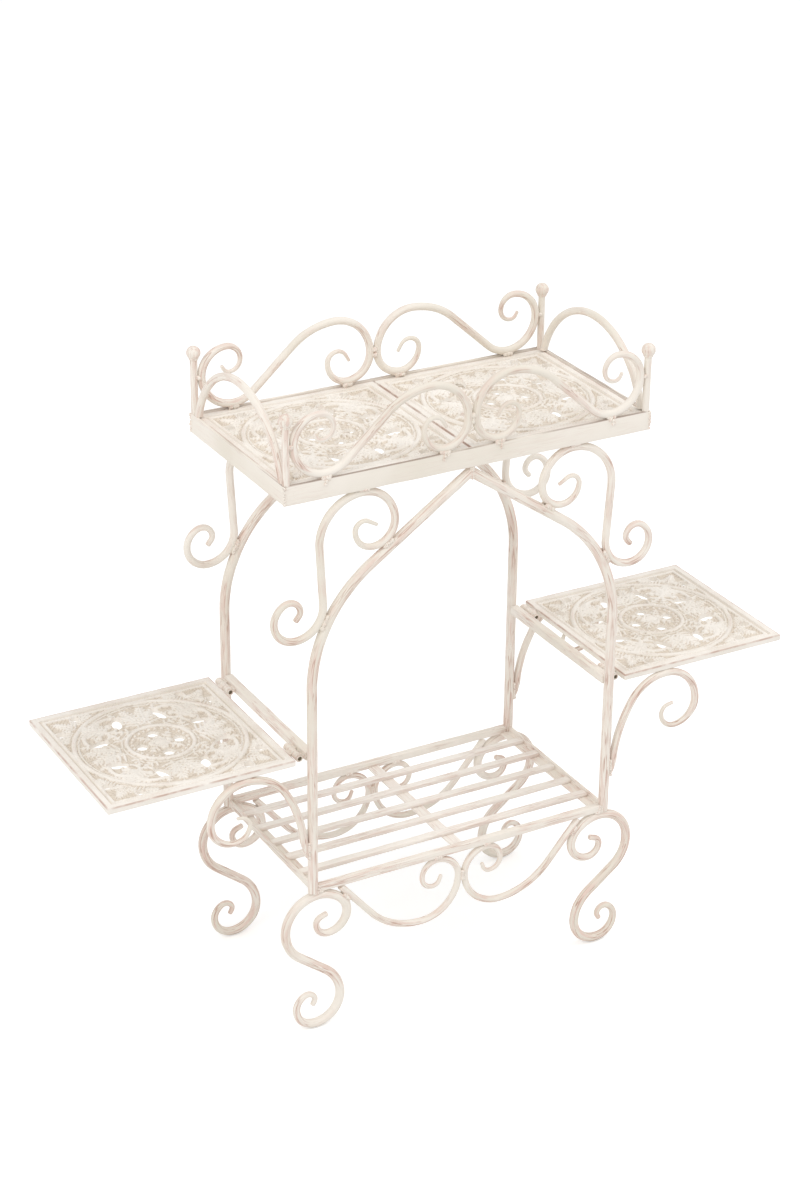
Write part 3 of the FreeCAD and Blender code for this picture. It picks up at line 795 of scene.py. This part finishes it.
relief_rod = 0.0029
relief_lift = 0.0047
lay_down = Matrix.Translation((0, 0, relief_lift)) @ Matrix.Rotation(-quarter_turn, 4, "X")
scroll_start = (0.047, -0.010)
scroll_heading = -35
scroll_steps = [(0.030, 125), (0.017, 120), (0.012, 130), (0.008, 130)]
scroll_tapers = (0.03, 0.05)
sector_scroll = forge_rod("sector_scroll", relief_rod, scroll_start, scroll_heading, scroll_steps,
                          *scroll_tapers)
sector_scroll.data.transform(lay_down)
bud_radius = 0.0045
bud_place = (0.0755, 0.0155, relief_lift)
bud_flatness = 0.6
bud = lump(bud_place, bud_radius, (1, 1, bud_flatness))
sector_leaves = ((0.049, -0.0165, -11, 0.050, 0.0031), (0.083, -0.008, 2, 0.019, 0.0028),
                 (0.066, 0.031, 21, 0.036, 0.0032), (0.048, 0.007, 52, 0.024, 0.0029),
                 (0.092, 0.016, 78, 0.020, 0.0028), (0.060, -0.030, -58, 0.018, 0.0027),
                 (0.072, -0.010, 95, 0.016, 0.0027), (0.080, 0.022, 20, 0.020, 0.0028))
sector = join([sector_scroll, bud, *[lay_leaf(*place) for place in sector_leaves]])
for index in range(8):
    flip = Matrix.Diagonal((1, -1 if index % 2 else 1, 1, 1))
    turned = Matrix.Rotation(quarter_turn / 2 * (index + 0.5), 4, "Z")
    relief.append(set_copy(sector, "cast_sector", turned @ flip))
bpy.data.objects.remove(sector)

corner_leaves = ((0.1255, 0.013, 122, 0.036, 0.0030), (0.119, 0.006, 62, 0.016, 0.0028))
palmette_leaf = (0.113, 0, 0, 0.034, 0.0035)
petal_leaf = (0.0085, 0, 0, 0.025, 0.0034)
small_petal_leaf = (0.0065, 0, 0, 0.011, 0.0032)
corner = join([lay_leaf(*place) for place in corner_leaves])
palmette = lay_leaf(*palmette_leaf)
petal = lay_leaf(*petal_leaf)
small_petal = lay_leaf(*small_petal_leaf)
for index in range(4):
    diagonal = Matrix.Rotation(quarter_turn * (index + 0.5), 4, "Z")
    for flip in (1, -1):
        relief.append(set_copy(corner, "cast_corner", diagonal @ Matrix.Diagonal((1, flip, 1, 1))))
    relief.append(set_copy(palmette, "cast_palmette", diagonal))
    relief.append(set_copy(petal, "cast_petal", diagonal))
    relief.append(set_copy(small_petal, "cast_petal", Matrix.Rotation(quarter_turn * index, 4, "Z")))
for pattern in (corner, palmette, petal, small_petal, large_leaf, small_leaf):
    bpy.data.objects.remove(pattern)

casting = join(relief)
casting_voxel = 0.0010
casting_smoothing = 0.5
casting_triangles = 170000
work(casting, "REMESH", mode="VOXEL", voxel_size=casting_voxel)
work(casting, "SMOOTH", factor=casting_smoothing, iterations=1)
work(casting, "DECIMATE", ratio=min(1, casting_triangles / (2 * len(casting.data.polygons))))
work(casting, "BOOLEAN", object=cutter)
bpy.data.objects.remove(cutter)

# Notes for the casting's paint: how high and how open a point lies, whether it is in the field
# inside the border, and its place on the casting.
# The hollow share is low at low and enclosed points, and the paint darkens these with a wash and with painted
# shade.
hollow = casting.data.color_attributes.new("hollow", "FLOAT_COLOR", "POINT")
casting.data.color_attributes.active_color = hollow
bpy.ops.paint.vertex_color_dirt(blur_strength=1.0, blur_iterations=2)
cast_points = points_of(casting)
shares = np.empty(len(cast_points) * 4, dtype=np.float32)
hollow.data.foreach_get("color", shares)
shares = shares.reshape(-1, 4)
open_range = (3, 97)
openness = np.interp(shares[:, 0], np.percentile(shares[:, 0], open_range), (0, 1))
raised = np.clip((cast_points[:, 2] - panel_web) / (panel_thickness - panel_web), 0, 1)
height_share = 0.65
plain_share = 0.5
underside_height = 0.8 * panel_web
field_half = casting_side / 2 - strip_width - groove_width - rib_width
underside = cast_points[:, 2] < underside_height
shares[:, 0] = np.where(underside, plain_share, height_share * raised + (1 - height_share) * openness)
shares[:, 1] = (np.abs(cast_points[:, :2]).max(1) < field_half) & ~underside
hollow.data.foreach_set("color", shares.ravel())
cast_places = casting.data.attributes.new("cast_place", "FLOAT_VECTOR", "POINT")
cast_places.data.foreach_set("vector", cast_points.ravel())

hollow_wash_and_shade = tone(219, 206, 189)
chased_brown = tone(168, 146, 124)
cast_patch_scale = 24
cast_grain_scale = 520
cast_fine_scale = 1500
cast_edge_scale = 40
ripple_scale = 70
cast_edge_bands = (0.0024, 0.0008)
cast_roughness = 0.66
cast_shine = 0.3
cast_grain_depth = 0.0006


def cast_paint(name):
    """Thick cream paint on a grainy casting: darker in the hollows, as a dull wash and as painted shade,
    rubbed on the relief and the upper outer edge, specked, and with fine brown ripples on the flat ground."""
    paint, tree, skin = new_paint(name)
    place = add_node(tree, "TexCoord")["Object"]
    noted = add_node(tree, "Attribute", [("attribute_name", "hollow")])["Color"]
    noted_shares = add_node(tree, "SeparateColor", Color=noted)
    relief_share = noted_shares["Red"]
    in_field = noted_shares["Green"]
    cast_place = add_node(tree, "Attribute", [("attribute_name", "cast_place")])["Vector"]
    patches = noise(place, cast_patch_scale, 3)
    grain = noise(place, cast_grain_scale, 3)
    fine = noise(place, cast_fine_scale, 2)
    # Low, enclosed points turn towards the hollow colour: a wash, and painted shade in the hollows.
    deep_wash_and_shade = fade(relief_share, 0.42, 0.06, 0.75)
    crests = fade(relief_share, 0.50, 0.85)
    ripple = add_node(tree, "TexWave", [("wave_type", "RINGS"), ("rings_direction", "SPHERICAL")],
                      Vector=cast_place, Scale=ripple_scale, Distortion=16, Detail=3, Detail_Scale=0.8)["Fac"]
    ground = combine("MULTIPLY", fade(relief_share, 0.62, 0.30), in_field)
    chased = combine("MULTIPLY", fade(ripple, 0.24, 0.02, 0.34), ground)
    worn_place = fade(combine("ADD", grain, patches), 0.95, 1.2, 0.6)
    worn = combine("MULTIPLY", crests, worn_place)
    speck_place = combine("ADD", fine, combine("MULTIPLY", deep_wash_and_shade, 0.12))
    specks = fade(speck_place, 0.66, 0.74, 0.6)
    specks = combine("MULTIPLY", specks, fade(patches, 0.35, 0.65))
    along, across, above = add_node(tree, "SeparateXYZ", Vector=cast_place)
    outwards = combine("MAXIMUM", combine("ABSOLUTE", along), combine("ABSOLUTE", across))
    edge_start, edge_full = cast_edge_bands
    at_side = fade(outwards, casting_side / 2 - edge_start, casting_side / 2 - edge_full)
    at_top = fade(above, panel_thickness - edge_start, panel_thickness - edge_full)
    edge_place = fade(noise(place, cast_edge_scale, 3), 0.30, 0.62, 0.75)
    rubbed_edge = combine("MULTIPLY", combine("MULTIPLY", at_side, at_top), edge_place)
    colour = tint(fade(patches, 0.3, 0.75, 0.3), pale_cream, shaded_cream)
    colour = tint(deep_wash_and_shade, colour, hollow_wash_and_shade)
    colour = tint(chased, colour, chased_brown)
    colour = tint(worn, colour, pink_wash)
    colour = tint(specks, colour, bare_speck)
    colour = tint(rubbed_edge, colour, rubbed_brown)
    surface = combine("SUBTRACT", combine("ADD", grain, fine), chased)
    bumps = add_node(tree, "Bump", Height=surface, Strength=0.5, Distance=cast_grain_depth)[0]
    wire(skin, Base_Color=colour, Roughness=cast_roughness, Specular_IOR_Level=cast_shine, Normal=bumps)
    return paint


casting_paint = cast_paint("rubbed_cream_casting")
panel_bodies = {"left_tray_panel": "frame", "right_tray_panel": "frame", "left_leaf_panel": "left_leaf",
                "right_leaf_panel": "right_leaf"}
for turns, (node, body) in enumerate(panel_bodies.items()):
    low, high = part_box(node)
    middle = Matrix.Translation(((low.x + high.x) / 2, 0, low.z))
    piece = set_copy(casting, f"{node}_casting", middle @ Matrix.Rotation(quarter_turn * turns, 4, "Z"))
    dress(piece, casting_paint, node, slot="cream_casting", body=body)
bpy.data.objects.remove(casting)

# Gallery: S-scrolls along the front and rear of the tray, a hoop at each end and a post with a
# ball at each corner. Round bar, welded to the top edge of the rim and to each other.
rail_depth = tray_y - scroll_rod / 2
rail_rise = 0.088
rail_loop = 0.050
rail_curl = ((0.028, 90), (0.014, 150))
rail_tip = 0.010
rail_run = 0.0735
rail_end_loop = 0.042
rail_end_curl = ((0.034, 90), (0.019, 90), (0.015, 90), (0.009, 60))
rail_end_tip = 0.006
post_low, post_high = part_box("rear_right_post")
post_rod = post_high.x - post_low.x
post_x = (post_low.x + post_high.x) / 2
post_y = (post_low.y + post_high.y) / 2
rail_low = tray_top + weld_gap / 2 + scroll_rod / 2
rail_crest = (scroll_rod / 2 + weld_gap / 2 + rail_loop, tray_top + rail_rise)
rail_return = rail_crest[1] - rail_loop - rail_low
inward = [(rail_loop, 90), (rail_return, 90), *rail_curl, (0, rail_tip)]
rail_end_x = post_x - post_rod / 2 - weld_gap - scroll_rod / 2 - rail_end_loop
rail_across = rail_end_x - rail_crest[0]
rail_fall = rail_crest[1] - rail_low - rail_end_loop
rail_swing = ((rail_across ** 2 + rail_fall ** 2 - rail_end_loop ** 2 - rail_run ** 2)
              / (2 * (rail_fall + rail_end_loop)))
rail_swing_centre = (rail_crest[0], rail_crest[1] - rail_swing)
tip, heading, steps = wind_back(rail_crest, 180, inward)
steps += s_curve(rail_swing_centre, rail_swing, (rail_end_x, rail_low + rail_end_loop), rail_end_loop)
steps += [(rail_end_loop, 90), *rail_end_curl, (0, rail_end_tip)]
rail_scroll = forge_rod("rail_scroll", scroll_rod / 2, tip, heading, steps, scroll_taper, scroll_taper)
set_in_corners(rail_scroll, "rail_scroll", rail_depth)

hoop_rise = 0.085
hoop_post_gap = 0.0006
hoop_half = post_y - post_rod / 2 - hoop_post_gap - scroll_rod / 2
hoop_base = 2 * atan2(hoop_rise, hoop_half)
hoop_radius = (hoop_half ** 2 + hoop_rise ** 2) / (2 * hoop_rise)
hoop_start = (-hoop_half - scroll_rod * cos(hoop_base), tray_top - scroll_rod * sin(hoop_base))
hoop_steps = [(0, scroll_rod), (hoop_radius, -2 * degrees(hoop_base)), (0, scroll_rod)]
hoop = forge_rod("hoop", scroll_rod / 2, hoop_start, degrees(hoop_base), hoop_steps)
saw_off(hoop, (0, 0, tray_top), (0, 0, -1))
hoop.data.transform(Matrix.Rotation(quarter_turn, 4, "Z"))
for side_name, side in sides.items():
    place = Matrix.Translation((side * (tray_x - scroll_rod / 2), 0, 0))
    piece = set_copy(hoop, f"{side_name}_hoop_rod", place)
    hammer(piece, hammer_marks, hammer_depth)
    dress(piece, bar_paint, f"{side_name}_hoop")
bpy.data.objects.remove(hoop)

post = forge_rod("post", post_rod / 2, (post_x, tray_top), 90, [(0, post_high.z - post_low.z)])
set_in_corners(post, "post", post_y)
ball_edge, _, ball_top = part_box("post_finials")[1]
ball_radius = ball_edge - post_x
collar_rod = 0.0016
collar_steps = (28, 10)
balls = []
for back, side in corners:
    post_end = Vector((side * post_x, back * post_y, post_high.z))
    ball_place = (*post_end.xy, ball_top - ball_radius)
    bpy.ops.mesh.primitive_uv_sphere_add(segments=28, ring_count=18, radius=ball_radius, location=ball_place)
    balls += [bpy.context.object, torus(post_end, post_rod / 2, collar_rod, *collar_steps)]
finials = join(balls)
finials.name = "post_finial_balls"
hammer(finials, hammer_marks, hammer_depth)
ball_paint = antique_paint("rubbed_cream_ball", on_bar=False, wear=1.2, spread=0.16)
dress(finials, ball_paint, "post_finials")

# Brackets: a scroll of round bar on the outside of each leg. It runs up along the leg, swings out
# and carries the leaf on its crest before it curls back under. Its lower end is cut to a slant
# that ends flush with the leg.
leaf_bottom = panel_low.z
leaf_rest_gap = 0.0003
bracket_reach = 0.089
bracket_loop = 0.050
bracket_curl = ((0.032, -90), (0.021, -90), (0.012, -80))
bracket_tip = 0.008
bracket_shoulder = 0.060
bracket_back = 0.180
bracket_run = 0.012
tail_slant = radians(20)
tail_height = 0.04
bracket_crest = (leg_x + bracket_reach, leaf_bottom - leaf_rest_gap - scroll_rod / 2)
against_leg = leg_x + leg_rod / 2 + weld_gap + scroll_rod / 2
lean_share = (against_leg + bracket_back - bracket_crest[0]) / (bracket_back - bracket_shoulder)
bracket_lean = degrees(acos(lean_share))
inward = [(bracket_shoulder, 90 - bracket_lean), (bracket_back, bracket_lean), (0, bracket_run)]
bracket_foot, heading, steps = wind_back(bracket_crest, 180, inward)
steps += [(bracket_loop, -90), *bracket_curl, (0, bracket_tip)]
bracket = forge_rod("bracket", scroll_rod / 2, bracket_foot, heading, steps, 0, scroll_taper)
pick(bracket, "vertices", lambda point: point.co.z < bracket_foot[1] + tail_height)
tail_end = (against_leg - scroll_rod / 2, 0, bracket_foot[1])
tail_cut = (cos(tail_slant), 0, -sin(tail_slant))
bpy.ops.mesh.bisect(plane_co=tail_end, plane_no=tail_cut, use_fill=True, clear_outer=True)
close_mesh()
set_in_corners(bracket, "bracket", frame_depth, scroll_paint)

# Hinges: a square bar between the front and rear legs carries two barrel hinges for each leaf.
# The knuckles are welded to the bar and to the leaf, and headed pins run through them.
hinge_edge = 0.0016
pin_radius = 0.0025
pin_length = 0.0374
pin_head = 0.0015
pin_wall = 0.0011
pin_hollow = 0.0012
pin_sides = 20
head_sides = 28
# Dark mottled colour for the sunk ends of the pins: painted shade that makes them read as deep holes.
hole_shade_dark = tone(74, 66, 50)
hole_shade_pale = tone(118, 104, 80)
hole_shade_scale = 900
hole_shade_roughness = 0.7
pin_paint = antique_paint("rubbed_cream_pin", on_bar=False, spread=0.16)
hinge_paint = antique_paint("rubbed_cream_hinge", on_bar=False, spread=0.06)
painted_hole_shade, hole_shade_tree, hole_shade_skin = new_paint("painted_hole_shade")
hole_shade_clouds = noise(add_node(hole_shade_tree, "TexCoord")["Object"], hole_shade_scale)
wire(hole_shade_skin, Base_Color=tint(hole_shade_clouds, hole_shade_dark, hole_shade_pale), Roughness=hole_shade_roughness)


def cylinder(place, radius, length, facets):
    """A level cylinder from front to rear."""
    bpy.ops.mesh.primitive_cylinder_add(
        vertices=facets, radius=radius, depth=length, location=place, rotation=(quarter_turn, 0, 0))
    return bpy.context.object


for side_name in sides:
    flat_bar(f"{side_name}_hinge_bar", 1, hinge_edge, bar_paint)
    for kind in ("fixed_hinges", "leaf_hinges"):
        paint_node(f"{side_name}_{kind}", hinge_paint)
    pin_low, pin_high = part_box(f"{side_name}_hinge_pins")
    pin_centre = (pin_low + pin_high) / 2
    head_radius = (pin_high.z - pin_low.z) / 2
    pins = []
    for back in rows.values():
        inner = pin_centre.y + back * (pin_high.y - pin_centre.y - pin_length)
        outer = pin_centre.y + back * (pin_high.y - pin_centre.y)
        middle = Vector((pin_centre.x, (inner + outer) / 2, pin_centre.z))
        pins.append(cylinder(middle, pin_radius, pin_length - 2 * pin_head, pin_sides))
        for end in (-1, 1):
            place = middle + Vector((0, end * (pin_length - pin_head) / 2, 0))
            head = cylinder(place, head_radius, pin_head, head_sides)
            bpy.ops.object.transform_apply()
            pick(head, "polygons", lambda face: face.normal.y * end > facing)
            sink(pin_wall, (0, -end * pin_hollow, 0))
            bpy.ops.object.mode_set(mode="OBJECT")
            pins.append(head)
    pins = join(pins)
    pins.name = f"{side_name}_hinge_pin_pair"
    dress(pins, pin_paint, f"{side_name}_hinge_pins")
    # The sunk bottoms of the pin ends take the painted hole shade.
    pins.data.materials.append(painted_hole_shade)
    for face in pins.data.polygons:
        from_axis = hypot(face.center.x - pin_centre.x, face.center.z - pin_centre.z)
        if from_axis < head_radius - pin_wall and face.area > head_radius ** 2:
            face.material_index = 1

# Welds: small lumps of run metal wherever two bars meet, painted over with the rest and darker
# where the paint has not taken. Each group of lumps is one piece.
weld_paint = antique_paint("rubbed_cream_weld", on_bar=False, wear=0.9, spread=0.16, chips=0.10)
weld_lumps = bpy.data.textures.new("weld_lumps", "CLOUDS")
weld_lumps.noise_scale = 0.004
weld_roughness = 0.0018
weld_spread = 0.25
bead_pitch = 0.0030
draw = random.Random(7)


def weld(name, places, depth, size, proud=0.0):
    """Lumps of weld metal at places (u, w) of the right half of a frame, on both halves of both frames,
    each stretched and turned a little differently. Proud ones stand before and behind the frame's plane."""
    beads = []
    for back, side in corners:
        for face in (proud, -proud) if proud else (0.0,):
            for u, w in places:
                stretch = [size * draw.uniform(1 - weld_spread, 1 + weld_spread) for _ in range(3)]
                turned = [draw.uniform(0, pi) for _ in range(3)]
                beads.append(lump((side * u, back * (depth + face), w), 1, stretch, turned))
    beads = join(beads)
    beads.name = name
    hammer(beads, weld_lumps, weld_roughness)
    dress(beads, weld_paint)


def bead_run(place, heading, count):
    """Places in a row along a contact, at a heading in radians."""
    shifts = [bead_pitch * (index - (count - 1) / 2) for index in range(count)]
    return [(place[0] + shift * cos(heading), place[1] + shift * sin(heading)) for shift in shifts]


arch_proud = 0.0040
arch_lump = 0.0028
inner_loop = (spandrel_crest[0] - spandrel_loop + spandrel_inner, spandrel_height - spandrel_loop)
inner_reach = spandrel_inner + scroll_rod / 2
arch_touch = (inner_loop[0] - sin(slope) * inner_reach, inner_loop[1] - cos(slope) * inner_reach)
to_arch = Vector((arch_x - low_centre[0], arch_z - low_centre[1])).normalized()
low_touch = (low_centre[0] + to_arch.x * (spandrel_low_loop + scroll_rod / 2),
             low_centre[1] + to_arch.y * (spandrel_low_loop + scroll_rod / 2))
low_heading = atan2(to_arch.y, to_arch.x) + quarter_turn
arch_places = [*bead_run(arch_touch, -slope, 5), *bead_run(low_touch, low_heading, 6),
               *bead_run((spandrel_crest[0], rim_bottom), 0, 4), *bead_run((0.0, apex_z), quarter_turn, 5)]
weld("arch_welds", arch_places, frame_depth, arch_lump, arch_proud)

shelf_proud = 0.0032
shelf_lump = 0.0027
leg_weld_rise = 0.005
foot_touch = (foot_crest[0] - sin(rise) * (foot_loop + foot_rod / 2),
              foot_crest[1] - foot_loop + cos(rise) * (foot_loop + foot_rod / 2))
shelf_places = [*bead_run(foot_touch, rise, 4), *bead_run((foot_crest[0], shelf_bottom), 0, 4),
                *bead_run((0.0, apron_inmost[1]), quarter_turn, 4),
                *bead_run((leg_x - leg_rod / 2, shelf_bottom + leg_weld_rise), quarter_turn, 3),
                *bead_run((apron_inmost[0] + apron_loop, shelf_bottom), 0, 3)]
weld("shelf_welds", shelf_places, frame_depth, shelf_lump, shelf_proud)

bracket_proud = 0.0034
bracket_lump = 0.0024
bracket_weld_rise = 0.014
bracket_places = bead_run((leg_x + leg_rod / 2, bracket_foot[1] + bracket_weld_rise), quarter_turn, 8)
weld("bracket_welds", bracket_places, frame_depth, bracket_lump, bracket_proud)

gallery_proud = 0.0026
gallery_lump = 0.0034
rail_lumps = (-0.004, 0.0, 0.004)
rail_lift = 0.001
twin_lumps = (-0.0035, 0.0035)
rail_touches = (rail_crest[0] - rail_loop + rail_return, rail_end_x)
gallery_places = [(post_x - post_rod / 2, rail_low + rail_end_loop)]
gallery_places += [(touch + shift, tray_top + rail_lift) for touch in rail_touches for shift in rail_lumps]
gallery_places += [(0.0, rail_crest[1] - rail_loop + shift) for shift in twin_lumps]
weld("gallery_welds", gallery_places, rail_depth, gallery_lump, gallery_proud)

drip_lump = 0.0024
drip_places = ((-0.003, 0.001), (0.001, 0.003), (0.002, 0.007))
drips = [(touch + shift, tray_top - drop) for touch in rail_touches for shift, drop in drip_places]
weld("rim_drips", drips, tray_y, drip_lump)

post_lump = 0.0042
weld("post_welds", [(post_x, tray_top), (tray_x - scroll_rod / 2, tray_top)], post_y, post_lump)

seam_lump = 0.0019
seam_inset = 0.0006
seam_steps = 6
seam = [(tray_x - seam_inset, rim_bottom + (step + 0.5) / seam_steps * (tray_top - rim_bottom))
        for step in range(seam_steps)]
weld("rim_welds", seam, tray_y - seam_inset, seam_lump)

# Floor, light and camera: a white studio. The floor shows white to the camera and keeps a soft
# shadow under the feet.
floor_size = 12.0
floor_white = (0.9, 0.9, 0.9, 1)
floor_roughness = 0.9
floor_lift = 0.24


def seen_directly(tree):
    """1 for rays from the camera, mirrored rays and rays through glass, 0 for light on its way."""
    path = add_node(tree, "LightPath")
    mirrored = combine("MAXIMUM", path["Is Glossy Ray"], path["Is Transmission Ray"])
    return combine("MAXIMUM", path["Is Camera Ray"], mirrored)


bpy.ops.mesh.primitive_plane_add(size=floor_size)
floor = bpy.context.object
floor.name = "floor"
floor_paint, floor_tree, floor_skin = new_paint("pale_floor")
wire(floor_skin, Base_Color=floor_white, Roughness=floor_roughness)
glow_strength = combine("MULTIPLY", seen_directly(floor_tree), floor_lift)
glow = add_node(floor_tree, "Emission", Strength=glow_strength)[0]
lit_floor = floor_tree.nodes.new("ShaderNodeAddShader")
plug(lit_floor.inputs[0], floor_skin.outputs[0])
plug(lit_floor.inputs[1], glow)
wire(floor_tree.nodes["Material Output"], Surface=lit_floor.outputs[0])
floor.data.materials.append(floor_paint)

sky_light = 0.83
lamps = (((-2.7, -1.4, 2.9), 38), ((2.2, -1.0, 3.4), 32))
lamp_size = 2.0
lamp_target = Vector((0, 0, 0.4))
world = bpy.context.scene.world or bpy.data.worlds.new("studio")
bpy.context.scene.world = world
world.use_nodes = True
sky_tree = world.node_tree
seen_sky = seen_directly(sky_tree)
sky_strength = add_node(sky_tree, "MapRange", Value=seen_sky, To_Min=sky_light, To_Max=1.0)[0]
wire(sky_tree.nodes["Background"], Color=(1, 1, 1, 1), Strength=sky_strength)
for lamp_place, power in lamps:
    aim = (lamp_target - Vector(lamp_place)).to_track_quat("-Z", "Y").to_euler()
    bpy.ops.object.light_add(type="AREA", location=lamp_place, rotation=aim)
    bpy.context.object.data.energy = power
    bpy.context.object.data.size = lamp_size

camera_azimuth = radians(-29.196)
camera_elevation = radians(26.101)
camera_roll = radians(0.592)
camera_target = Vector((-0.0270, 0.0, 0.518))
camera_distance = 3.39773
camera_lens = 79.96
camera_sensor = 36
camera_reach = 50
camera_turn = Euler((quarter_turn - camera_elevation, 0, camera_azimuth)).to_matrix()
camera_place = camera_target + camera_turn @ Vector((0, 0, camera_distance))
camera_turn = camera_turn @ Matrix.Rotation(camera_roll, 3, "Z")
bpy.ops.object.camera_add(location=camera_place, rotation=camera_turn.to_euler())
camera = bpy.context.object
camera.data.lens = camera_lens
camera.data.sensor_width = camera_sensor
camera.data.clip_end = camera_reach
bpy.context.scene.camera = camera
bpy.context.scene.view_settings.view_transform = "Standard"
